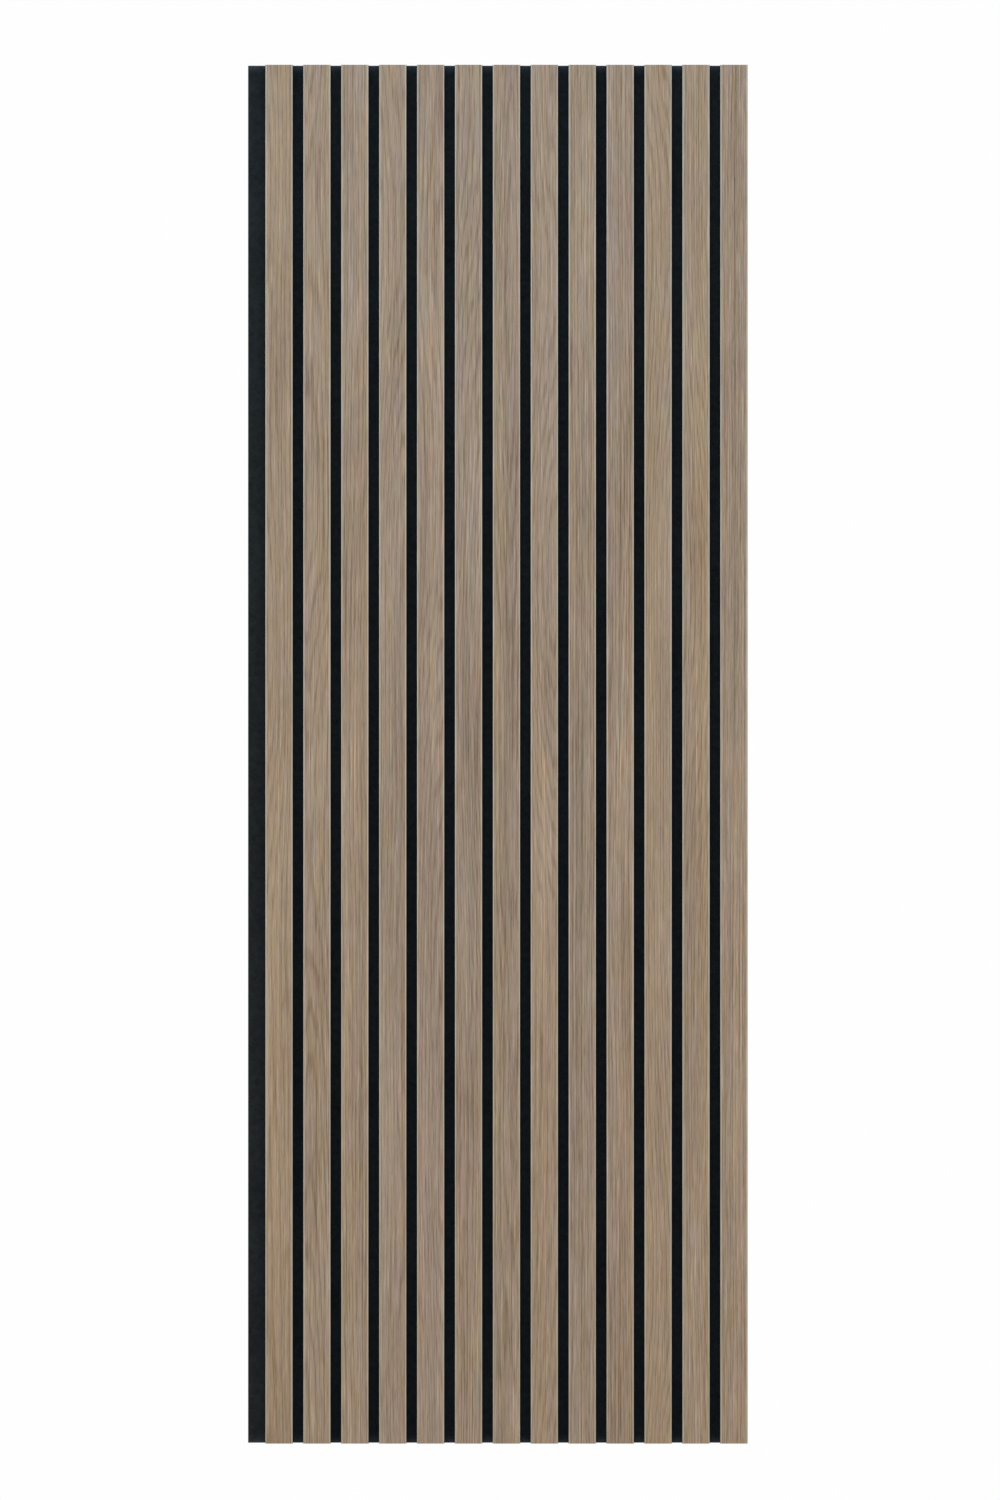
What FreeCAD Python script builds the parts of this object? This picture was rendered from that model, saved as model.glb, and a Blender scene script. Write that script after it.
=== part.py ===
# Acoustic slat wall panel, in millimetres.
#
# A board of black polyester felt carries a row of upright MDF slats with a wood veneer on the
# front. The felt sticks out past the first slat as a strip, where the panel beside it is joined,
# and ends flush with the last slat. Fine wire staples, driven from the back, go through the felt
# into each slat. Their crowns lie sunk in the felt, so that the back face meets the wall.
#
# X runs across the panel as it is seen from the front, Y runs from the room into the wall, and Z
# runs up. The origin is the middle of the felt's back face.

import FreeCAD
import Part
import math
import os

# Slats
SLAT_COUNT = 13
SLAT_WIDTH = 33.0
SLAT_DEPTH = 12.0
SLAT_GAP = 12.5
SLAT_ARRIS = 1.0  # radius of the eased front edges

# Felt board
PANEL_HEIGHT = 1655.0
FELT_DEPTH = 9.0
JOINING_STRIP = 21.0  # bare felt left of the first slat

# Staples
STAPLE_CROWN = 12.8  # outer width
STAPLE_WIRE_WIDTH = 0.95
STAPLE_WIRE_DEPTH = 0.65
STAPLE_CORNER = 0.3  # chamfer where the crown turns into a leg
STAPLE_TIP = 1.0  # length of the chisel point
STAPLE_SINK = 0.8  # from the felt's back face to the crown
STAPLE_BITE = 6.0  # how far the points reach into a slat
STAPLE_ROW_PITCH = 300.0
STAPLE_END_MARGIN = 60.0  # least distance of a row from the end of a slat
CROWN_CLEARANCE = 0.2  # round the crown, in its pocket

SLAT_PITCH = SLAT_WIDTH + SLAT_GAP
PANEL_WIDTH = JOINING_STRIP + SLAT_COUNT * SLAT_WIDTH + (SLAT_COUNT - 1) * SLAT_GAP
LEFT_EDGE = -PANEL_WIDTH / 2
BOTTOM = -PANEL_HEIGHT / 2
FELT_FRONT = -FELT_DEPTH
SLAT_FRONT = FELT_FRONT - SLAT_DEPTH
CROWN_BACK = -STAPLE_SINK
CROWN_FRONT = CROWN_BACK - STAPLE_WIRE_DEPTH
STAPLE_POINT = FELT_FRONT - STAPLE_BITE

# How far the middle of a rounded edge lies inside the two faces that it joins
ARRIS_INSET = SLAT_ARRIS * (1 - math.cos(math.radians(45)))

UP = FreeCAD.Vector(0, 0, 1)


def slat_left(number):
    """X of a slat's left side. Slats are numbered from 0."""
    return LEFT_EDGE + JOINING_STRIP + number * SLAT_PITCH


def staple_heights():
    """Z of each row of staples, centred on the panel."""
    span = PANEL_HEIGHT - 2 * STAPLE_END_MARGIN
    steps = int(span // STAPLE_ROW_PITCH)
    return [(i - steps / 2) * STAPLE_ROW_PITCH for i in range(steps + 1)]


def box(low, high):
    """A box between two opposite corners."""
    size = [b - a for a, b in zip(low, high)]
    return Part.makeBox(*size, FreeCAD.Vector(*low))


def slat_section(left):
    """The slat cut across at its foot: square at the felt, with two eased edges at the front."""
    right = left + SLAT_WIDTH
    shoulder = SLAT_FRONT + SLAT_ARRIS

    def point(x, y):
        return FreeCAD.Vector(x, y, BOTTOM)

    back_left, back_right = point(left, FELT_FRONT), point(right, FELT_FRONT)
    side_left, side_right = point(left, shoulder), point(right, shoulder)
    front_left = point(left + SLAT_ARRIS, SLAT_FRONT)
    front_right = point(right - SLAT_ARRIS, SLAT_FRONT)
    middle_left = point(left + ARRIS_INSET, SLAT_FRONT + ARRIS_INSET)
    middle_right = point(right - ARRIS_INSET, SLAT_FRONT + ARRIS_INSET)
    outline = [
        Part.LineSegment(back_left, side_left),
        Part.Arc(side_left, middle_left, front_left),
        Part.LineSegment(front_left, front_right),
        Part.Arc(front_right, middle_right, side_right),
        Part.LineSegment(side_right, back_right),
        Part.LineSegment(back_right, back_left),
    ]
    return Part.Face(Part.Wire([curve.toShape() for curve in outline]))


def staple(middle_x, middle_z):
    """A staple with its crown across the slat, its legs pointing to the front."""
    z = middle_z - STAPLE_WIRE_WIDTH / 2
    half = STAPLE_CROWN / 2
    inner_half = half - STAPLE_WIRE_DEPTH
    heel = STAPLE_POINT + STAPLE_TIP
    right_side = [
        (half - STAPLE_CORNER, CROWN_BACK),
        (half, CROWN_BACK - STAPLE_CORNER),
        (half, STAPLE_POINT),
        (inner_half, heel),
        (inner_half, CROWN_FRONT),
    ]
    left_side = [(-x, y) for x, y in reversed(right_side)]
    outline = [FreeCAD.Vector(middle_x + x, y, z) for x, y in right_side + left_side]
    face = Part.Face(Part.makePolygon(outline + outline[:1]))
    return face.extrude(UP * STAPLE_WIRE_WIDTH)


def crown_pocket(middle_x, middle_z):
    """The hollow that the crown presses into the felt, open at the back face."""
    half_x = STAPLE_CROWN / 2 + CROWN_CLEARANCE
    half_z = STAPLE_WIRE_WIDTH / 2 + CROWN_CLEARANCE
    low = (middle_x - half_x, CROWN_FRONT, middle_z - half_z)
    high = (middle_x + half_x, 0, middle_z + half_z)
    return box(low, high)


def slat_staples(number):
    """The staples that hold one slat, in a column on its middle line."""
    middle_x = slat_left(number) + SLAT_WIDTH / 2
    return [staple(middle_x, z) for z in staple_heights()]


def slat(number):
    """One slat, with a blind hole for each staple leg."""
    bar = slat_section(slat_left(number)).extrude(UP * PANEL_HEIGHT)
    return bar.cut(Part.makeCompound(slat_staples(number)))


def felt_board():
    """The felt behind all the slats, with a pocket for each crown and a hole for each leg."""
    board = box((LEFT_EDGE, FELT_FRONT, BOTTOM), (-LEFT_EDGE, 0, -BOTTOM))
    for number in range(SLAT_COUNT):
        middle_x = slat_left(number) + SLAT_WIDTH / 2
        pockets = [crown_pocket(middle_x, z) for z in staple_heights()]
        board = board.cut(Part.makeCompound(pockets + slat_staples(number)))
    return board


def all_staples():
    """Every staple, as separate solids in one compound."""
    found = []
    for number in range(SLAT_COUNT):
        found += slat_staples(number)
    return Part.makeCompound(found)


def main():
    os.makedirs("parts", exist_ok=True)
    felt_board().exportStep("parts/felt_board.step")
    all_staples().exportStep("parts/back_staples.step")
    for number in range(SLAT_COUNT):
        slat(number).exportStep(f"parts/slat_{number + 1:02d}.step")


main()
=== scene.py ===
# Acoustic slat wall panel: oak-veneered slats on a black felt board, stapled from the back.
#
# Lengths are in metres, and in the materials' patterns in millimetres. X runs across the front,
# Y into the wall and Z up, with the origin in the middle of the felt's back face.

import math

import bmesh
import bpy
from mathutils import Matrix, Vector


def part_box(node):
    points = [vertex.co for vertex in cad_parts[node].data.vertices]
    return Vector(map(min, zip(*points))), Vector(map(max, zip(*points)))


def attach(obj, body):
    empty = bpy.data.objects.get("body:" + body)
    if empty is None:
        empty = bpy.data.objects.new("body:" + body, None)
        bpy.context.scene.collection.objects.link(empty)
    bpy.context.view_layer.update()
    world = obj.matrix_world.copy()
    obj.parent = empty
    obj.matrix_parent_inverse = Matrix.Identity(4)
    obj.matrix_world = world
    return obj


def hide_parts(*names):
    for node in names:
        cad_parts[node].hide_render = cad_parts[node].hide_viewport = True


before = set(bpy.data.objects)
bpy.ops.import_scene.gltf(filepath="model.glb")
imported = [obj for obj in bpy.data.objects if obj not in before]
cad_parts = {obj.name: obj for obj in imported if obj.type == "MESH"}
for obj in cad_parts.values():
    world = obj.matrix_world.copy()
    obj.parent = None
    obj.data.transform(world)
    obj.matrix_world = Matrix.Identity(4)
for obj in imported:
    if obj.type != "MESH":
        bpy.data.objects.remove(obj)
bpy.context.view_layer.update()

MM = 0.001

# The photograph, in pixels: its size, and the panel's middle and height in it
PHOTO_WIDTH = 1000
PHOTO_HEIGHT = 1500
PANEL_PIXEL_X = 497.7
PANEL_PIXEL_Y = 754.2
PANEL_PIXEL_HEIGHT = 1378.9

# Camera: how far it is from the slats' fronts, how far it sees, and its sensor in millimetres
CAMERA_DISTANCE = 9.7
CAMERA_REACH = 100.0
CAMERA_SENSOR = 36.0

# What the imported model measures
SLAT_NODES = sorted(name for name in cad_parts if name.startswith("slat_"))
FELT_LOW, FELT_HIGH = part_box("felt_board")
SLAT_LOW, SLAT_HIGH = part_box(SLAT_NODES[0])
STAPLES_LOW, STAPLES_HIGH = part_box("back_staples")
SLAT_WIDTH = SLAT_HIGH.x - SLAT_LOW.x
SLAT_DEPTH = SLAT_HIGH.y - SLAT_LOW.y
SLAT_LENGTH = SLAT_HIGH.z - SLAT_LOW.z
SLAT_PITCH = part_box(SLAT_NODES[1])[0].x - SLAT_LOW.x
SLAT_FRONT = SLAT_LOW.y
FIRST_MIDDLE = SLAT_LOW.x + SLAT_WIDTH / 2

# Slats: their two eased front edges. Points closer than the weld are one, and a face is flat
# where its normal's X times its Y is under the limit
ARRIS_RADIUS = 1.0 * MM
ARRIS_STEPS = 5
WELD = 0.001 * MM
FLAT_LIMIT = 0.01

# Staples: the wire, and how a staple gun leaves them
STAPLE_ROWS = 6
WIRE_WIDTH = 0.95 * MM
WIRE_DEPTH = 0.65 * MM
WIRE_BEND = 0.75 * MM
WIRE_BEND_STEPS = 4
STAPLE_TILT = math.radians(1.2)
STAPLE_SEED = 5
STAPLE_CROWN = STAPLES_HIGH.x - STAPLES_LOW.x - (len(SLAT_NODES) - 1) * SLAT_PITCH
STAPLE_ROW_PITCH = (STAPLES_HIGH.z - STAPLES_LOW.z - WIRE_WIDTH) / (STAPLE_ROWS - 1)
STAPLE_SINK = FELT_HIGH.y - STAPLES_HIGH.y

# Felt board: its soft rims, and the dimple and the groove that each crown presses into its back
FELT_EDGE_RADIUS = 1.0 * MM
FELT_EDGE_STEPS = 4
DIMPLE_RADIUS = 3.2 * MM
DIMPLE_PAST_CROWN = 0.2 * MM
GROOVE_FLANK = 0.5 * MM

# The felt's grid lines: past a crown's ends and sides, inside its ends, and off a row's middle
DIMPLE_STEPS = [0.0, 0.35 * MM, 1.2 * MM, 2.4 * MM, 4.2 * MM, 7.0 * MM]
CROWN_END_INSET = 3.0 * MM
ROW_STEPS = [25.0 * MM, 75.0 * MM]

# Floor and background. The floor turns white between two shares of its radius
FLOOR_DROP = 0.40
FLOOR_RADIUS = 3.2
FLOOR_SEGMENTS = 96
FLOOR_FADE = (0.45, 0.95)
WORLD_LIGHT = 0.50
WHITE = "#FEFEFE"

# Growth rings in the veneer, in millimetres: their spacing, how far their pith can lie to either
# side, how far it drifts, and its least and greatest depth behind the face
RING_SPACING = 3.5
PITH_REACH = 62.0
PITH_DRIFT = 7.0
PITH_DEPTHS = (6.0, 46.0)

# Other patterns in the veneered slats, in millimetres
PORE_WIDTH = 0.8
PORE_LENGTH = 12.0
RAW_EDGE_WIDTH = 1.3
RAW_EDGE_FADE = 0.45
VENEER_THICKNESS = 0.35
MDF_GRAIN = 0.7

# How much deeper each next slat is cut from the pattern, and the seed of the slats' chances
VENEER_CUT = 17.3
VENEER_SEED = 3.4

# Patterns in the felt, in millimetres, and the directions of its fibres in degrees
FIBRE_WIDTH = 0.6
FIBRE_LENGTH = 9.0
FIBRE_TURNS = (12, 58, 97, 151)
CURL_SIZE = 9.0
CURL_REACH = 11.0
CLUMP_SIZE = 7.0
PATCH_SIZE = 90.0
# How far in from each end the felt is painted paler, as painted light from above
PAINTED_END_LIGHT_LENGTH = 12.0

# Patterns in the zinc, in millimetres
ZINC_SPOT = 1.4

# Kinds of node that are used often. Map Range takes a value, then from low, from high, to low and
# to high. Mix takes a share, then 2 and 3 as numbers, 4 and 5 as vectors, or 6 and 7 as colours
MATHS = "ShaderNodeMath"
VECTOR_MATHS = "ShaderNodeVectorMath"
MAP_RANGE = "ShaderNodeMapRange"
MIX = "ShaderNodeMix"
NOISE = "ShaderNodeTexNoise"
SEPARATE = "ShaderNodeSeparateXYZ"
COMBINE = "ShaderNodeCombineXYZ"


# Helpers

def linear(code):
    """An sRGB hex colour as linear red, green, blue and alpha."""
    parts = [int(code[i:i + 2], 16) / 255 for i in (1, 3, 5)]
    return [c / 12.92 if c <= 0.04045 else ((c + 0.055) / 1.055) ** 2.4 for c in parts] + [1.0]


def node(tree, kind, inputs=None, output=0, **settings):
    """Adds a node and returns one of its outputs. Inputs are values or other nodes' outputs."""
    made = tree.nodes.new(kind)
    for name, value in settings.items():
        setattr(made, name, value)
    for key, value in (inputs or {}).items():
        if isinstance(value, bpy.types.NodeSocket):
            tree.links.new(value, made.inputs[key])
        else:
            made.inputs[key].default_value = value
    return made.outputs[output]


def link_object(name, data):
    """A new object in the scene, with this mesh, lamp or camera."""
    made = bpy.data.objects.new(name, data)
    bpy.context.scene.collection.objects.link(made)
    return made


def new_material(name):
    """A material with an empty tree and its output node's surface socket."""
    material = bpy.data.materials.new(name)
    material.use_nodes = True
    material.node_tree.nodes.clear()
    output = material.node_tree.nodes.new("ShaderNodeOutputMaterial")
    return material, material.node_tree, output.inputs["Surface"]


# Camera and light

def make_camera():
    """Square to the panel, at the distance that the photograph's slight perspective gives."""
    scale = SLAT_LENGTH / PANEL_PIXEL_HEIGHT
    data = bpy.data.cameras.new("camera")
    data.sensor_width = CAMERA_SENSOR
    data.lens = CAMERA_SENSOR / 2 * CAMERA_DISTANCE / (PHOTO_HEIGHT / 2 * scale)
    data.clip_end = CAMERA_REACH
    camera = link_object("camera", data)
    camera.location = (
        (PHOTO_WIDTH / 2 - PANEL_PIXEL_X) * scale,
        SLAT_FRONT - CAMERA_DISTANCE,
        (PANEL_PIXEL_Y - PHOTO_HEIGHT / 2) * scale,
    )
    camera.rotation_euler = (math.radians(90), 0, 0)
    bpy.context.scene.camera = camera


def make_softbox(name, place, target, size, power, colour):
    """A soft lamp that lights the panel and isn't seen itself."""
    data = bpy.data.lights.new(name, "AREA")
    data.shape = "RECTANGLE"
    data.size, data.size_y = size
    data.energy = power
    data.color = linear(colour)[:3]
    lamp = link_object(name, data)
    lamp.location = place
    lamp.rotation_euler = (Vector(target) - Vector(place)).to_track_quat("-Z", "Y").to_euler()
    lamp.visible_camera = False


def make_lights():
    """A cool lamp high in front, a warmer one at each side, and a white one high behind."""
    make_softbox(
        "top_front",
        place=(-0.2, -1.5, 2.3),
        target=(0, 0, 0.5),
        size=(2.6, 1.2),
        power=33,
        colour="#BFE2FF",
    )
    for name, side in (("left", -1), ("right", 1)):
        make_softbox(
            name,
            place=(side * 3.3, -1.9, -0.3),
            target=(0, 0, -0.3),
            size=(1.6, 1.8),
            power=38.5,
            colour="#FFFAF4",
        )
    make_softbox(
        "back_high",
        place=(0.9, 2.6, 2.1),
        target=(0, 0, 0),
        size=(2.4, 1.6),
        power=50,
        colour="#FFFFFF",
    )


def make_world():
    """White for what sees it, and an even, moderate light for what it lights."""
    world = bpy.data.worlds.new("studio")
    bpy.context.scene.world = world
    world.use_nodes = True
    tree = world.node_tree
    tree.nodes.clear()
    rays = node(tree, "ShaderNodeLightPath").node.outputs
    seen = rays["Is Camera Ray"]
    for ray in ("Is Glossy Ray", "Is Transmission Ray"):
        seen = node(tree, MATHS, {0: seen, 1: rays[ray]}, operation="MAXIMUM")
    lit = node(
        tree,
        "ShaderNodeBackground",
        {"Color": linear("#FCFAF8"), "Strength": WORLD_LIGHT},
    )
    white = node(tree, "ShaderNodeBackground", {"Color": linear(WHITE), "Strength": 1.0})
    mixed = node(tree, "ShaderNodeMixShader", {0: seen, 1: lit, 2: white})
    output = tree.nodes.new("ShaderNodeOutputWorld")
    tree.links.new(mixed, output.inputs["Surface"])


def floor_material():
    """Pale painted floor, which turns into the white background towards its rim."""
    material, tree, surface = new_material("pale_floor")
    place = node(tree, "ShaderNodeTexCoord", output="Object")
    distance = node(tree, VECTOR_MATHS, {0: place}, output="Value", operation="LENGTH")
    near, far = (part * FLOOR_RADIUS for part in FLOOR_FADE)
    fade = node(
        tree, MAP_RANGE, {0: distance, 1: near, 2: far}, interpolation_type="SMOOTHSTEP"
    )
    camera_ray = node(tree, "ShaderNodeLightPath", output="Is Camera Ray")
    share = node(tree, MATHS, {0: fade, 1: camera_ray}, operation="MULTIPLY")
    paint = node(tree, "ShaderNodeBsdfDiffuse", {"Color": linear("#F1F1F0")})
    white = node(tree, "ShaderNodeEmission", {"Color": linear(WHITE), "Strength": 1.0})
    mixed = node(tree, "ShaderNodeMixShader", {0: share, 1: paint, 2: white})
    tree.links.new(mixed, surface)
    return material


def make_floor():
    """A round floor below the panel, small enough to stay under the photograph's frame."""
    mesh = bpy.data.meshes.new("floor")
    shape = bmesh.new()
    bmesh.ops.create_circle(
        shape, cap_ends=True, segments=FLOOR_SEGMENTS, radius=FLOOR_RADIUS
    )
    shape.to_mesh(mesh)
    shape.free()
    mesh.materials.append(floor_material())
    floor = link_object("floor", mesh)
    floor.location = (0, 0, SLAT_LOW.z - FLOOR_DROP)


# Materials

def millimetres(tree):
    """Places on the panel, in millimetres from its origin."""
    place = node(tree, "ShaderNodeTexCoord", output="Object")
    return node(tree, VECTOR_MATHS, {0: place, "Scale": 1 / MM}, operation="SCALE")


def grain(tree, point, across, along, detail=2.0, roughness=0.5):
    """Noise from 0 to 1, whose patches are this wide and this long."""
    scaled = node(
        tree, VECTOR_MATHS, {0: point, 1: (1 / across, 1.0, 1 / along)}, operation="MULTIPLY"
    )
    return node(
        tree, NOISE, {"Vector": scaled, "Scale": 1.0, "Detail": detail, "Roughness": roughness}
    )


def weighted_sum(tree, layers):
    """The sum of these values, each times its weight."""
    total = 0.0
    for value, weight in layers:
        total = node(tree, MATHS, {0: value, 1: weight, 2: total}, operation="MULTIPLY_ADD")
    return total


def tinted(tree, colour, share, low, high):
    """The colour times a tint between these two."""
    tint = node(tree, MIX, {0: share, 4: low, 5: high}, output=1, data_type="VECTOR")
    return node(tree, VECTOR_MATHS, {0: colour, 1: tint}, operation="MULTIPLY")


def growth_rings(tree, point, across, chance):
    """Growth rings round a pith that lies behind the veneer, mostly off to one side.

    Where the pith comes near the middle of the slat, the rings show as long arches.
    """
    drift = grain(tree, point, across=90.0, along=800.0, detail=1.0)
    drift = node(
        tree, MAP_RANGE, {0: drift, 1: 0.25, 2: 0.75, 3: -PITH_DRIFT, 4: PITH_DRIFT}
    )
    pith = node(tree, MAP_RANGE, {0: chance, 3: -PITH_REACH, 4: PITH_REACH})
    pith = node(tree, MATHS, {0: pith, 1: drift}, operation="ADD")
    sideways = node(tree, MATHS, {0: across, 1: pith}, operation="SUBTRACT")
    below = grain(tree, point, across=300.0, along=900.0, detail=1.0)
    shallow, deep = PITH_DEPTHS
    below = node(tree, MAP_RANGE, {0: below, 1: 0.3, 2: 0.7, 3: shallow, 4: deep})
    square = node(tree, MATHS, {0: below, 1: below}, operation="MULTIPLY")
    square = node(
        tree, MATHS, {0: sideways, 1: sideways, 2: square}, operation="MULTIPLY_ADD"
    )
    radius = node(tree, MATHS, {0: square, 1: 0.5}, operation="POWER")
    ragged = grain(tree, point, across=9.0, along=260.0)
    ragged = node(tree, MAP_RANGE, {0: ragged, 1: 0.2, 2: 0.8, 3: -0.6, 4: 0.6})
    turns = node(
        tree, MATHS, {0: radius, 1: 1 / RING_SPACING, 2: ragged}, operation="MULTIPLY_ADD"
    )
    angle = node(tree, MATHS, {0: turns, 1: 2 * math.pi}, operation="MULTIPLY")
    wave = node(tree, MATHS, {0: angle}, operation="SINE")
    return node(tree, MAP_RANGE, {0: wave}, interpolation_type="SMOOTHSTEP")


def dark_pores(tree, point, rings):
    """Short dark pores, fainter in the wood between the rings.

    They are drawn 0.8 mm wide, because the real 0.2 mm wouldn't show.
    """
    pores = grain(tree, point, across=PORE_WIDTH, along=PORE_LENGTH, detail=1.0)
    pores = node(
        tree, MAP_RANGE, {0: pores, 1: 0.56, 2: 0.72}, interpolation_type="SMOOTHSTEP"
    )
    strength = node(tree, MAP_RANGE, {0: rings, 3: 0.35})
    return node(tree, MATHS, {0: pores, 1: strength}, operation="MULTIPLY")


def stained_oak(tree, point, rings, fibres, dashes, pores, chances):
    """The colour of the veneer's face, from its bands, streaks, fibres, rings and pores."""
    chance_of_tone, chance_of_warmth = chances
    bands = grain(tree, point, across=34.0, along=320.0, detail=1.0)
    streaks = grain(tree, point, across=2.4, along=330.0, detail=1.0)
    pale = grain(tree, point, across=1.3, along=75.0, detail=1.0)
    pale = node(tree, MAP_RANGE, {0: pale, 1: 0.56, 2: 0.74}, interpolation_type="SMOOTHSTEP")
    tone = weighted_sum(tree, [
        (bands, 0.30),
        (streaks, 0.26),
        (fibres, 0.50),
        (dashes, 0.76),
        (pale, 0.22),
        (chance_of_tone, 0.04),
        (rings, -0.14),
    ])
    tone = node(tree, MAP_RANGE, {0: tone, 1: 0.506, 2: 1.416})
    dark, light, pore = linear("#6B5540"), linear("#C4AE99"), linear("#564433")
    oak = node(tree, MIX, {0: tone, 6: dark, 7: light}, output=2, data_type="RGBA")
    depth = node(tree, MATHS, {0: pores, 1: 0.23}, operation="MULTIPLY")
    oak = node(tree, MIX, {0: depth, 6: oak, 7: pore}, output=2, data_type="RGBA")

    # Some streaks lean to ochre and others to grey, and across that some to pink or to olive
    warmth = weighted_sum(tree, [
        (grain(tree, point, across=4.8, along=66.0, detail=3.0), 0.7),
        (grain(tree, point, across=20.0, along=1500.0, detail=1.0), 0.4),
        (chance_of_warmth, 0.12),
    ])
    warmth = node(tree, MAP_RANGE, {0: warmth, 1: 0.37, 2: 0.85})
    oak = tinted(tree, oak, warmth, low=(0.96, 1.0, 1.12), high=(1.045, 1.0, 0.785))
    pinkness = weighted_sum(tree, [
        (grain(tree, point, across=4.2, along=48.0, detail=3.0), 0.75),
        (grain(tree, point, across=6.0, along=1200.0, detail=1.0), 0.25),
    ])
    pinkness = node(tree, MAP_RANGE, {0: pinkness, 1: 0.30, 2: 0.70})
    return tinted(tree, oak, pinkness, low=(0.935, 1.01, 0.945), high=(1.075, 0.975, 1.035))


def with_eased_edges(tree, oak, point, across, dashes):
    """The oak with a pale, slightly uneven line along both edges, where the stain is gone."""
    side = node(tree, MATHS, {0: across}, operation="ABSOLUTE")
    from_side = node(tree, MATHS, {0: SLAT_WIDTH / 2 / MM, 1: side}, operation="SUBTRACT")
    uneven = grain(tree, point, across=30.0, along=70.0)
    uneven = node(tree, MAP_RANGE, {0: uneven, 1: 0.3, 2: 0.7, 3: -0.25, 4: 0.25})
    from_side = node(tree, MATHS, {0: from_side, 1: uneven}, operation="ADD")
    eased = node(
        tree,
        MAP_RANGE,
        {0: from_side, 1: RAW_EDGE_WIDTH + RAW_EDGE_FADE, 2: RAW_EDGE_WIDTH, 4: 0.9},
        interpolation_type="SMOOTHSTEP",
    )
    raw = node(tree, MAP_RANGE, {0: dashes, 1: 0.3, 2: 0.7})
    dark, light = linear("#B2A492"), linear("#C6B9A8")
    raw = node(tree, MIX, {0: raw, 6: dark, 7: light}, output=2, data_type="RGBA")
    return node(tree, MIX, {0: eased, 6: oak, 7: raw}, output=2, data_type="RGBA")


def veneered_slat_material():
    """Grey-brown oak veneer under matt lacquer, on MDF that is dyed black right through.

    The veneer is sliced oak with nearly straight grain. Broad bands, growth rings, dark and pale
    streaks and short dark pores run along the slat. The lacquer is matt, so highlights are wide
    and weak. Each slat is cut from another place in the veneer. Its two front edges are eased
    with fine paper, which takes the stain off and leaves a pale line.
    """
    material, tree, surface = new_material("oak_veneer_on_black_mdf")

    # Places across the slat from its middle line, up from the panel's middle, and behind its face
    place = millimetres(tree)
    across = node(tree, "ShaderNodeAttribute", attribute_name="across", output="Fac")
    across = node(tree, MATHS, {0: across, 1: 1 / MM}, operation="MULTIPLY")
    along = node(tree, SEPARATE, {0: place}, output="Z")
    depth = node(tree, SEPARATE, {0: place}, output="Y")
    depth = node(tree, MATHS, {0: depth, 1: SLAT_FRONT / MM}, operation="SUBTRACT")

    # What differs from slat to slat
    plank = node(tree, "ShaderNodeAttribute", attribute_name="plank", output="Fac")
    cut = node(tree, MATHS, {0: plank, 1: VENEER_CUT}, operation="MULTIPLY")
    seed = node(tree, MATHS, {0: plank, 1: VENEER_SEED}, operation="ADD")
    chance = node(
        tree, "ShaderNodeTexWhiteNoise", {"W": seed}, output="Color", noise_dimensions="1D"
    )
    chance_of_pith, *chances = node(tree, SEPARATE, {0: chance}).node.outputs

    # Long fibres and short dashes are drawn 1 mm wide, because the real ones wouldn't show
    point = node(tree, COMBINE, {0: across, 1: cut, 2: along})
    fibres = grain(tree, point, across=1.0, along=260.0, detail=1.0)
    dashes = grain(tree, point, across=1.0, along=28.0, roughness=0.65)
    rings = growth_rings(tree, point, across, chance_of_pith)
    pores = dark_pores(tree, point, rings)
    oak = stained_oak(tree, point, rings, fibres, dashes, pores, chances)
    oak = with_eased_edges(tree, oak, point, across, dashes)

    # The core shows behind the veneer, on the sides, the back and the sawn ends. Its fibres are
    # drawn 0.7 mm wide, because the real ones wouldn't show
    dust = node(tree, NOISE, {"Vector": place, "Scale": 1 / MDF_GRAIN, "Detail": 3.0})
    core = node(tree, MAP_RANGE, {0: dust, 1: 0.35, 2: 0.75})
    dark, light = linear("#111213"), linear("#1F2021")
    core = node(tree, MIX, {0: core, 6: dark, 7: light}, output=2, data_type="RGBA")
    wavy = grain(tree, point, across=3.0, along=30.0)
    wavy = node(tree, MAP_RANGE, {0: wavy, 1: 0.3, 2: 0.7, 3: -0.04, 4: 0.04})
    in_core = node(tree, MATHS, {0: depth, 1: wavy}, operation="ADD")
    in_core = node(
        tree, MAP_RANGE, {0: in_core, 1: VENEER_THICKNESS - 0.02, 2: VENEER_THICKNESS + 0.03}
    )
    colour = node(tree, MIX, {0: in_core, 6: oak, 7: core}, output=2, data_type="RGBA")

    # Pores are dents in the lacquer, and the core is rough
    height = node(tree, MATHS, {0: pores, 1: -1.0, 2: dashes}, operation="MULTIPLY_ADD")
    height = node(tree, MIX, {0: in_core, 2: height, 3: dust}, data_type="FLOAT")
    normal = node(
        tree, "ShaderNodeBump", {"Strength": 0.5, "Distance": 0.06 * MM, "Height": height}
    )
    rough = node(tree, MAP_RANGE, {0: fibres, 1: 0.25, 2: 0.75, 3: 0.66, 4: 0.56})
    rough = node(tree, MIX, {0: in_core, 2: rough, 3: 0.86}, data_type="FLOAT")
    lacquered = node(
        tree,
        "ShaderNodeBsdfPrincipled",
        {
            "Base Color": colour,
            "Roughness": rough,
            "Normal": normal,
            "IOR": 1.5,
            "Specular IOR Level": 0.3,
        },
    )
    tree.links.new(lacquered, surface)
    return material


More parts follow.
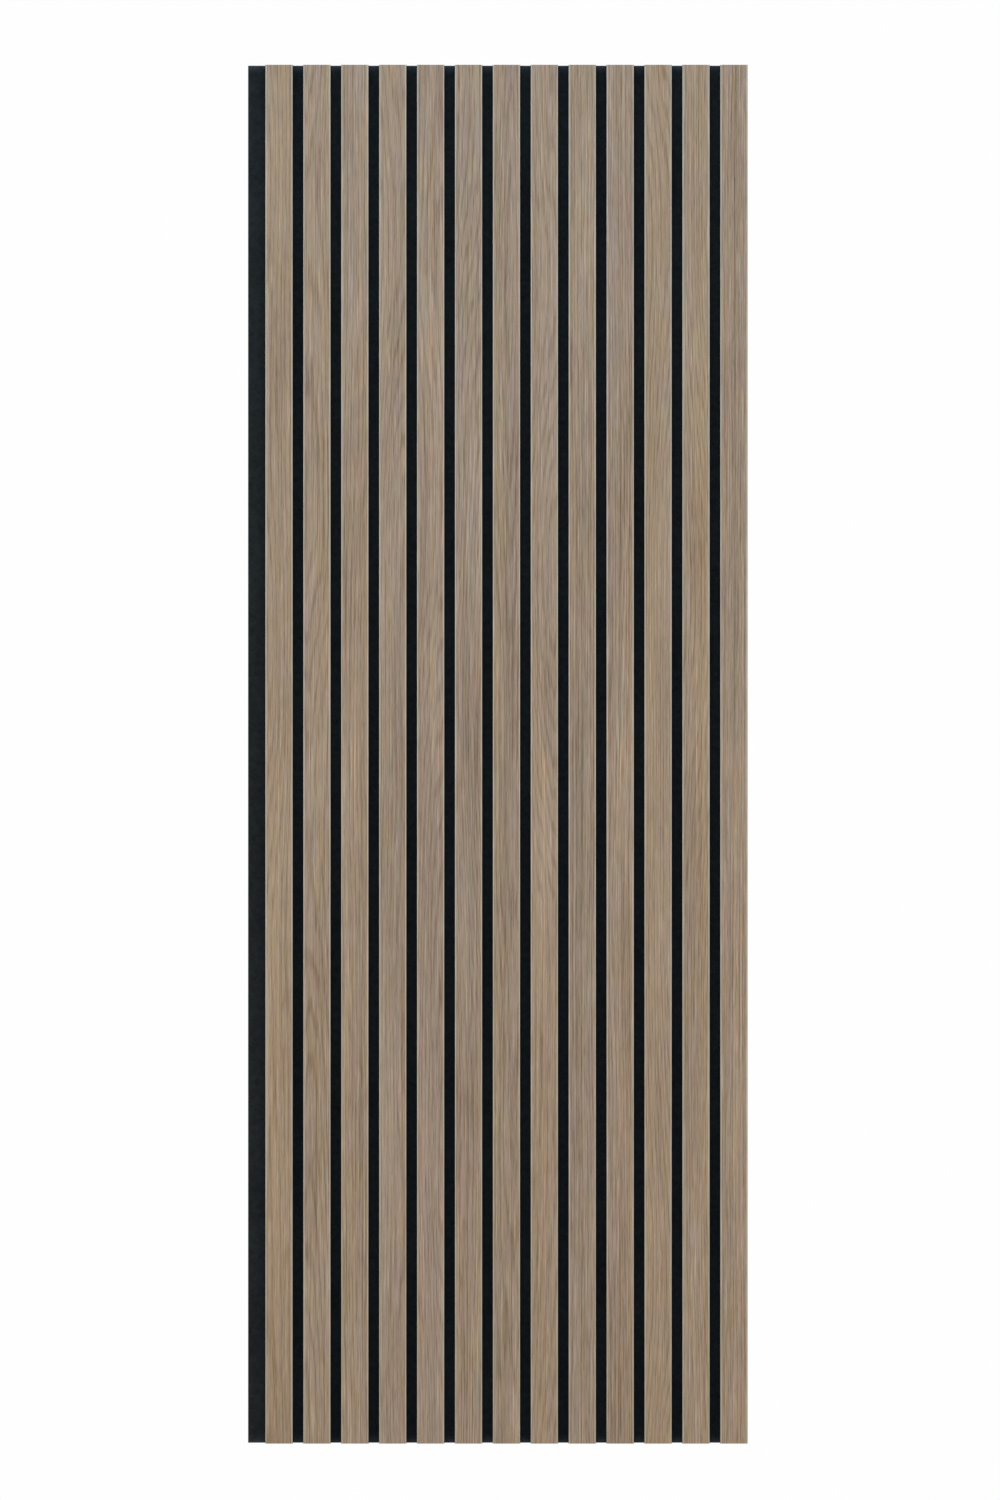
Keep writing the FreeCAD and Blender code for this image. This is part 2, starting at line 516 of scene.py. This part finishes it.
def curled_fibres(tree, place):
    """Gently curled fibres, laid across each other in four directions."""
    curl = node(
        tree, NOISE, {"Vector": place, "Scale": 1 / CURL_SIZE, "Detail": 1.0}, output="Color"
    )
    curl = node(tree, VECTOR_MATHS, {0: curl, "Scale": CURL_REACH}, operation="SCALE")
    curled = node(tree, VECTOR_MATHS, {0: place, 1: curl}, operation="ADD")
    fibres = 0.0
    for turn in FIBRE_TURNS:
        laid = node(
            tree,
            "ShaderNodeMapping",
            {
                "Vector": curled,
                "Rotation": (0.0, math.radians(turn), 0.0),
                "Scale": (FIBRE_WIDTH, FIBRE_WIDTH, FIBRE_LENGTH),
            },
            vector_type="TEXTURE",
        )
        strands = node(
            tree, NOISE, {"Vector": laid, "Scale": 1.0, "Detail": 1.0, "Distortion": 0.3}
        )
        fibres = node(tree, MATHS, {0: fibres, 1: strands}, operation="MAXIMUM")
    return fibres


def needled_felt_material():
    """Board of needled polyester fibre, dyed black in the mass.

    It is matt and slightly cold in tone. Fibres lie in all directions, and the needles leave
    faint clumps. The fibres are drawn 0.6 mm wide, because the real 0.03 mm wouldn't show. Near
    both of its ends the board is painted paler: painted light, standing in for light from above.
    """
    material, tree, surface = new_material("needled_polyester_felt")
    place = millimetres(tree)
    fibres = curled_fibres(tree, place)
    clumps = node(tree, NOISE, {"Vector": place, "Scale": 1 / CLUMP_SIZE, "Detail": 3.0})
    patches = node(tree, NOISE, {"Vector": place, "Scale": 1 / PATCH_SIZE, "Detail": 2.0})
    tone = 0.0
    for pattern, low, high, to_low, to_high in (
        (clumps, 0.3, 0.7, -0.16, 0.16),
        (patches, 0.3, 0.7, -0.1, 0.1),
        (fibres, 0.50, 0.76, 0.22, 0.62),
    ):
        share = node(tree, MAP_RANGE, {0: pattern, 1: low, 2: high, 3: to_low, 4: to_high})
        tone = node(tree, MATHS, {0: share, 1: tone}, operation="ADD")
    # The third colour is the painted light near the board's two ends
    dark, light, painted_end_light = linear("#101314"), linear("#2B3033"), linear("#42484E")
    colour = node(tree, MIX, {0: tone, 6: dark, 7: light}, output=2, data_type="RGBA")

    # Painted light: near the board's two ends the colour is painted paler, unevenly by the clumps
    from_middle = node(tree, SEPARATE, {0: place}, output="Z")
    from_middle = node(tree, MATHS, {0: from_middle}, operation="ABSOLUTE")
    end = FELT_HIGH.z / MM
    end_light_share = node(tree, MAP_RANGE, {0: from_middle, 1: end - PAINTED_END_LIGHT_LENGTH, 2: end})
    end_light_share = node(tree, MATHS, {0: end_light_share, 1: end_light_share}, operation="MULTIPLY")
    end_light_clumps = node(tree, MAP_RANGE, {0: clumps, 1: 0.3, 2: 0.7, 3: 0.4, 4: 0.8})
    end_light_share = node(tree, MATHS, {0: end_light_share, 1: end_light_clumps}, operation="MULTIPLY")
    colour = node(tree, MIX, {0: end_light_share, 6: colour, 7: painted_end_light}, output=2, data_type="RGBA")

    normal = node(
        tree, "ShaderNodeBump", {"Strength": 0.7, "Distance": 0.25 * MM, "Height": fibres}
    )
    felt = node(
        tree,
        "ShaderNodeBsdfPrincipled",
        {
            "Base Color": colour,
            "Roughness": 0.95,
            "Normal": normal,
            "Specular IOR Level": 0.12,
            "Sheen Weight": 0.12,
            "Sheen Roughness": 0.5,
            "Sheen Tint": linear("#C8D4DE"),
        },
    )
    tree.links.new(felt, surface)
    return material


def galvanised_wire_material():
    """Drawn steel wire with a thin zinc coat, flattened and glued into strips before use.

    Zinc is a pale, slightly blue grey, with small spots that are paler and duller than the rest.
    """
    material, tree, surface = new_material("galvanised_steel_wire")
    place = millimetres(tree)
    spots = node(tree, NOISE, {"Vector": place, "Scale": 1 / ZINC_SPOT, "Detail": 3.0})
    dark, light = linear("#8E9297"), linear("#C4C8CC")
    colour = node(tree, MIX, {0: spots, 6: dark, 7: light}, output=2, data_type="RGBA")
    rough = node(tree, MAP_RANGE, {0: spots, 3: 0.3, 4: 0.5})
    wire = node(
        tree,
        "ShaderNodeBsdfPrincipled",
        {"Base Color": colour, "Metallic": 1.0, "Roughness": rough},
    )
    tree.links.new(wire, surface)
    return material


# Geometry trees

def new_tree(name, sizes):
    """A geometry tree with inputs of these names and kinds, their sockets, and its output node."""
    tree = bpy.data.node_groups.new(name, "GeometryNodeTree")
    for label, kind in sizes:
        tree.interface.new_socket(label, in_out="INPUT", socket_type="NodeSocket" + kind)
    tree.interface.new_socket("Geometry", in_out="OUTPUT", socket_type="NodeSocketGeometry")
    return tree, tree.nodes.new("NodeGroupInput").outputs, tree.nodes.new("NodeGroupOutput")


def made_by(tree, name, values):
    """The plain mesh object that a tree makes with these values."""
    made = link_object(name, bpy.data.meshes.new(name))
    modifier = made.modifiers.new("rule", "NODES")
    modifier.node_group = tree
    for item in tree.interface.items_tree:
        if item.in_out == "INPUT":
            modifier[item.identifier] = values[item.name]
    depsgraph = bpy.context.evaluated_depsgraph_get()
    mesh = bpy.data.meshes.new_from_object(made.evaluated_get(depsgraph))
    made.modifiers.remove(modifier)
    made.data = mesh
    return made


def slat_row_tree(material):
    """A row of slats along X, with their front edges rounded.

    Each slat keeps its number, and each of its points its place across the slat.
    """
    tree, size, output = new_tree(
        "slat_row",
        [
            ("Slats", "Int"),
            ("Pitch", "Float"),
            ("Width", "Float"),
            ("Depth", "Float"),
            ("Length", "Float"),
            ("Arris radius", "Float"),
            ("Arris steps", "Int"),
        ],
    )

    # The section, with its two front corners rounded
    outline = node(
        tree,
        "GeometryNodeCurvePrimitiveQuadrilateral",
        {"Width": size["Width"], "Height": size["Depth"]},
    )
    place_x, place_y, _ = node(
        tree, SEPARATE, {0: node(tree, "GeometryNodeInputPosition")}
    ).node.outputs
    at_front = node(tree, MATHS, {0: place_y, 1: 0.0}, operation="LESS_THAN")
    radius = node(tree, MATHS, {0: at_front, 1: size["Arris radius"]}, operation="MULTIPLY")
    outline = node(
        tree,
        "GeometryNodeFilletCurve",
        {"Curve": outline, "Radius": radius, "Count": size["Arris steps"]},
        mode="POLY",
    )

    # The bar, closed at both ends, with its middle at the origin
    foot = node(tree, "GeometryNodeFillCurve", {"Curve": outline}, mode="NGONS")
    bar = node(
        tree,
        "GeometryNodeExtrudeMesh",
        {
            "Mesh": foot,
            "Offset": (0.0, 0.0, 1.0),
            "Offset Scale": size["Length"],
            "Individual": False,
        },
        mode="FACES",
    )
    closed = tree.nodes.new("GeometryNodeJoinGeometry")
    tree.links.new(node(tree, "GeometryNodeFlipFaces", {"Mesh": foot}), closed.inputs[0])
    tree.links.new(bar, closed.inputs[0])
    bar = node(
        tree,
        "GeometryNodeMergeByDistance",
        {"Geometry": closed.outputs[0], "Distance": WELD},
    )
    half = node(tree, MATHS, {0: size["Length"], 1: -0.5}, operation="MULTIPLY")
    lowered = node(tree, COMBINE, {"Z": half})
    bar = node(tree, "GeometryNodeTransform", {"Geometry": bar, "Translation": lowered})

    # Only the rounded edges are shaded smooth: their faces look neither forwards nor sideways
    normal_x, normal_y, _ = node(
        tree, SEPARATE, {0: node(tree, "GeometryNodeInputNormal")}
    ).node.outputs
    slant = node(tree, MATHS, {0: normal_x, 1: normal_y}, operation="MULTIPLY")
    slant = node(tree, MATHS, {0: slant}, operation="ABSOLUTE")
    rounded = node(tree, MATHS, {0: slant, 1: FLAT_LIMIT}, operation="GREATER_THAN")
    bar = node(
        tree, "GeometryNodeSetShadeSmooth", {0: bar, "Shade Smooth": rounded}, domain="FACE"
    )
    bar = node(
        tree,
        "GeometryNodeStoreNamedAttribute",
        {"Geometry": bar, "Name": "across", "Value": place_x},
        data_type="FLOAT",
        domain="POINT",
    )

    # The row
    step = node(tree, COMBINE, {"X": size["Pitch"]})
    points = node(
        tree, "GeometryNodeMeshLine", {"Count": size["Slats"], "Offset": step}, mode="OFFSET"
    )
    row = node(tree, "GeometryNodeInstanceOnPoints", {"Points": points, "Instance": bar})
    number = node(tree, "GeometryNodeInputIndex")
    row = node(
        tree,
        "GeometryNodeStoreNamedAttribute",
        {"Geometry": row, "Name": "plank", "Value": number},
        data_type="FLOAT",
        domain="INSTANCE",
    )
    row = node(tree, "GeometryNodeRealizeInstances", {"Geometry": row})
    row = node(tree, "GeometryNodeSetMaterial", {"Geometry": row, "Material": material})
    tree.links.new(row, output.inputs[0])
    return tree


def staple_grid_tree(material):
    """Rows and columns of wire staples in the XZ plane, crowns towards +Y, legs towards -Y."""
    tree, size, output = new_tree(
        "staple_grid",
        [
            ("Columns", "Int"),
            ("Column pitch", "Float"),
            ("Rows", "Int"),
            ("Row pitch", "Float"),
            ("Crown", "Float"),
            ("Leg", "Float"),
            ("Wire width", "Float"),
            ("Wire depth", "Float"),
            ("Bend", "Float"),
            ("Bend steps", "Int"),
            ("Tilt", "Float"),
            ("Seed", "Int"),
        ],
    )

    # The wire's middle line through four corners: tip, shoulder, shoulder, tip
    half_wire = node(tree, MATHS, {0: size["Wire depth"], 1: 0.5}, operation="MULTIPLY")
    half_crown = node(tree, MATHS, {0: size["Crown"], 1: 0.5}, operation="MULTIPLY")
    right = node(tree, MATHS, {0: half_crown, 1: half_wire}, operation="SUBTRACT")
    left = node(tree, MATHS, {0: right, 1: -1.0}, operation="MULTIPLY")
    shoulder = node(tree, MATHS, {0: half_wire, 1: -1.0}, operation="MULTIPLY")
    tip = node(tree, MATHS, {0: size["Leg"], 1: -1.0}, operation="MULTIPLY")
    places = [(left, tip), (left, shoulder), (right, shoulder), (right, tip)]
    corners = tree.nodes.new("GeometryNodeIndexSwitch")
    corners.data_type = "VECTOR"
    while len(corners.index_switch_items) < len(places):
        corners.index_switch_items.new()
    tree.links.new(node(tree, "GeometryNodeInputIndex"), corners.inputs["Index"])
    for i, (x, y) in enumerate(places):
        tree.links.new(node(tree, COMBINE, {"X": x, "Y": y}), corners.inputs[i + 1])
    path = node(tree, "GeometryNodeMeshLine", {"Count": len(places)}, mode="OFFSET")
    path = node(tree, "GeometryNodeMeshToCurve", {"Mesh": path})
    path = node(
        tree, "GeometryNodeSetPosition", {"Geometry": path, "Position": corners.outputs[0]}
    )
    path = node(
        tree,
        "GeometryNodeFilletCurve",
        {"Curve": path, "Radius": size["Bend"], "Count": size["Bend steps"]},
        mode="POLY",
    )
    path = node(tree, "GeometryNodeSetCurveNormal", {"Curve": path}, mode="Z_UP")

    # The flat wire along it
    wire = node(
        tree,
        "GeometryNodeCurvePrimitiveQuadrilateral",
        {"Width": size["Wire depth"], "Height": size["Wire width"]},
    )
    staple = node(
        tree,
        "GeometryNodeCurveToMesh",
        {"Curve": path, "Profile Curve": wire, "Fill Caps": True},
    )
    staple = node(
        tree, "GeometryNodeSetShadeSmooth", {0: staple, "Shade Smooth": False}, domain="FACE"
    )

    # The grid, in which each staple is turned a little
    spans = []
    for count, pitch in (("Columns", "Column pitch"), ("Rows", "Row pitch")):
        steps = node(tree, MATHS, {0: size[count], 1: 1.0}, operation="SUBTRACT")
        spans.append(node(tree, MATHS, {0: steps, 1: size[pitch]}, operation="MULTIPLY"))
    grid = node(
        tree,
        "GeometryNodeMeshGrid",
        {
            "Size X": spans[0],
            "Size Y": spans[1],
            "Vertices X": size["Columns"],
            "Vertices Y": size["Rows"],
        },
    )
    upright = (math.radians(90), 0.0, 0.0)
    grid = node(tree, "GeometryNodeTransform", {"Geometry": grid, "Rotation": upright})
    minus_tilt = node(tree, MATHS, {0: size["Tilt"], 1: -1.0}, operation="MULTIPLY")
    tilt = node(
        tree,
        "FunctionNodeRandomValue",
        {
            "Min": node(tree, COMBINE, {"Y": minus_tilt}),
            "Max": node(tree, COMBINE, {"Y": size["Tilt"]}),
            "Seed": size["Seed"],
        },
        data_type="FLOAT_VECTOR",
    )
    staples = node(
        tree,
        "GeometryNodeInstanceOnPoints",
        {"Points": grid, "Instance": staple, "Rotation": tilt},
    )
    staples = node(tree, "GeometryNodeRealizeInstances", {"Geometry": staples})
    staples = node(
        tree, "GeometryNodeSetMaterial", {"Geometry": staples, "Material": material}
    )
    tree.links.new(staples, output.inputs[0])
    return tree


# Pieces

def make_slats():
    """Makes the row of slats and parts it into one piece for each slat."""
    row = made_by(
        slat_row_tree(veneered_slat_material()),
        "slat_row",
        {
            "Slats": len(SLAT_NODES),
            "Pitch": SLAT_PITCH,
            "Width": SLAT_WIDTH,
            "Depth": SLAT_DEPTH,
            "Length": SLAT_LENGTH,
            "Arris radius": ARRIS_RADIUS,
            "Arris steps": ARRIS_STEPS,
        },
    )
    middle = Vector((FIRST_MIDDLE, SLAT_FRONT + SLAT_DEPTH / 2, 0))
    for number, cad_name in enumerate(SLAT_NODES):
        shape = bmesh.new()
        shape.from_mesh(row.data)
        plank = shape.verts.layers.float["plank"]
        others = [v for v in shape.verts if round(v[plank]) != number]
        bmesh.ops.delete(shape, geom=others, context="VERTS")
        bmesh.ops.translate(shape, verts=shape.verts, vec=middle)
        mesh = row.data.copy()
        shape.to_mesh(mesh)
        shape.free()
        slat = link_object("oak_" + cad_name, mesh)
        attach(slat, "root")
        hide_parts(cad_name)
    bpy.data.objects.remove(row)


def make_staples():
    """All the staples, as one piece like the node that it replaces."""
    staples = made_by(
        staple_grid_tree(galvanised_wire_material()),
        "wire_staples",
        {
            "Columns": len(SLAT_NODES),
            "Column pitch": SLAT_PITCH,
            "Rows": STAPLE_ROWS,
            "Row pitch": STAPLE_ROW_PITCH,
            "Crown": STAPLE_CROWN,
            "Leg": STAPLES_HIGH.y - STAPLES_LOW.y,
            "Wire width": WIRE_WIDTH,
            "Wire depth": WIRE_DEPTH,
            "Bend": WIRE_BEND,
            "Bend steps": WIRE_BEND_STEPS,
            "Tilt": STAPLE_TILT,
            "Seed": STAPLE_SEED,
        },
    )
    middle = (STAPLES_LOW + STAPLES_HIGH) / 2
    for vertex in staples.data.vertices:
        vertex.co += Vector((middle.x, STAPLES_HIGH.y, middle.z))
    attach(staples, "root")
    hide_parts("back_staples")


def staple_places():
    """X of each column of staples and Z of each row."""
    columns = [FIRST_MIDDLE + i * SLAT_PITCH for i in range(len(SLAT_NODES))]
    lowest = STAPLES_LOW.z + WIRE_WIDTH / 2
    rows = [lowest + i * STAPLE_ROW_PITCH for i in range(STAPLE_ROWS)]
    return columns, rows


def grid_lines(low, high, middles, offsets):
    """Places for a board's grid lines: its two ends, and some on both sides of each middle."""
    inner = {middle + offset for middle in middles for offset in offsets}
    inner |= {middle - offset for middle in middles for offset in offsets}
    return [low] + sorted(place for place in inner if low < place < high) + [high]


def dimple(x, z, columns, rows):
    """How far the felt's back is pulled in at a point, by the crown of the nearest staple."""
    column = min(columns, key=lambda c: abs(c - x))
    row = min(rows, key=lambda r: abs(r - z))
    past_crown = max(abs(x - column) - STAPLE_CROWN / 2, 0.0)
    beside_wire = max(abs(z - row) - WIRE_WIDTH / 2, 0.0)
    distance = math.hypot(past_crown, beside_wire)
    deepest = STAPLE_SINK + DIMPLE_PAST_CROWN
    pulled = math.exp(-((distance / DIMPLE_RADIUS) ** 2)) * deepest
    under_wire = WIRE_DEPTH * max(1 - distance / GROOVE_FLANK, 0.0)
    return pulled + under_wire


def felt_face(shape, x_lines, z_lines, depth_at):
    """Makes one face of the board, and returns its vertices by the numbers of their lines."""
    grid = {}
    for i, x in enumerate(x_lines):
        for k, z in enumerate(z_lines):
            grid[i, k] = shape.verts.new((x, depth_at(x, z), z))
    for i in range(len(x_lines) - 1):
        for k in range(len(z_lines) - 1):
            shape.faces.new([grid[i, k], grid[i + 1, k], grid[i + 1, k + 1], grid[i, k + 1]])
    return grid


def outward(place, lines, out):
    """The place, moved out if it is on the first or the last of these lines."""
    if place == lines[0]:
        return place - out
    if place == lines[-1]:
        return place + out
    return place


def felt_mesh():
    """The felt board, with soft rims and a dimple round each staple's crown."""
    columns, rows = staple_places()
    inset = FELT_EDGE_RADIUS
    half_crown = STAPLE_CROWN / 2
    half_wire = WIRE_WIDTH / 2
    x_lines = grid_lines(
        FELT_LOW.x + inset,
        FELT_HIGH.x - inset,
        columns,
        [0.0, half_crown - CROWN_END_INSET] + [half_crown + step for step in DIMPLE_STEPS],
    )
    z_lines = grid_lines(
        FELT_LOW.z + inset,
        FELT_HIGH.z - inset,
        rows,
        [half_wire + step for step in DIMPLE_STEPS] + ROW_STEPS,
    )
    shape = bmesh.new()
    back = felt_face(
        shape, x_lines, z_lines, lambda x, z: FELT_HIGH.y - dimple(x, z, columns, rows)
    )
    front = felt_face(shape, x_lines, z_lines, lambda x, z: FELT_LOW.y)

    # Round the board once, by the numbers of the grid lines
    last_x, last_z = len(x_lines) - 1, len(z_lines) - 1
    border = [(i, 0) for i in range(last_x)] + [(last_x, k) for k in range(last_z)]
    border += [(i, last_z) for i in range(last_x, 0, -1)] + [(0, k) for k in range(last_z, 0, -1)]

    # From the back's rim over the edge to the front's rim: how far out, and at which Y
    quarter = [math.radians(90) * i / FELT_EDGE_STEPS for i in range(FELT_EDGE_STEPS + 1)]
    rim = [(inset * math.sin(a), FELT_HIGH.y - inset * (1 - math.cos(a))) for a in quarter]
    rim += [(out, FELT_LOW.y + FELT_HIGH.y - y) for out, y in reversed(rim)]

    loops = [[back[place] for place in border]]
    for out, y in rim[1:-1]:
        places = [
            (outward(x_lines[i], x_lines, out), y, outward(z_lines[k], z_lines, out))
            for i, k in border
        ]
        loops.append([shape.verts.new(place) for place in places])
    loops.append([front[place] for place in border])
    for near, far in zip(loops, loops[1:]):
        for i in range(len(border)):
            j = (i + 1) % len(border)
            shape.faces.new((near[i], near[j], far[j], far[i]))
    bmesh.ops.recalc_face_normals(shape, faces=shape.faces)
    mesh = bpy.data.meshes.new("needled_felt")
    shape.to_mesh(mesh)
    shape.free()
    mesh.shade_smooth()
    return mesh


def make_felt():
    """The felt board, as one piece."""
    mesh = felt_mesh()
    mesh.materials.append(needled_felt_material())
    felt = link_object("needled_felt", mesh)
    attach(felt, "root")
    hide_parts("felt_board")


def main():
    """The studio first, and then the pieces of the panel."""
    bpy.context.scene.view_settings.view_transform = "Standard"
    make_camera()
    make_world()
    make_lights()
    make_floor()
    make_slats()
    make_felt()
    make_staples()


main()
